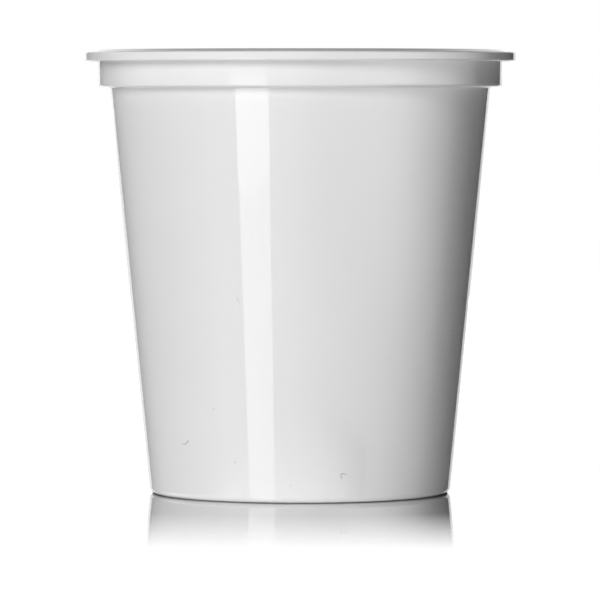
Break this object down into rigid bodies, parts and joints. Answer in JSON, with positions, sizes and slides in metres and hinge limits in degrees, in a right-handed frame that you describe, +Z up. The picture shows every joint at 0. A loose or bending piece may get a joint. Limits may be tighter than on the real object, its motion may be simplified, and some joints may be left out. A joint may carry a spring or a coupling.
{
  "type": "round plastic tub",
  "caption": "Open round tub for chilled food, moulded in glossy white plastic, with a tapering wall, a stacking collar and a turned-down lip for a lid to clip over.",
  "frame": {"origin": "centre of the foot ring, on the plane that the tub stands on", "axes": "+Z up along the tub's axis, towards the mouth; the tub is round, so X and Y are alike, and the side first drawn faces -Y"},
  "size_m": [0.095, 0.095, 0.0974],
  "materials": {
    "tub": "glossy injection-moulded polypropylene, opaque white"
  },
  "bodies": {
    "root": {"tub": "tub"}
  },
  "joints": []
}
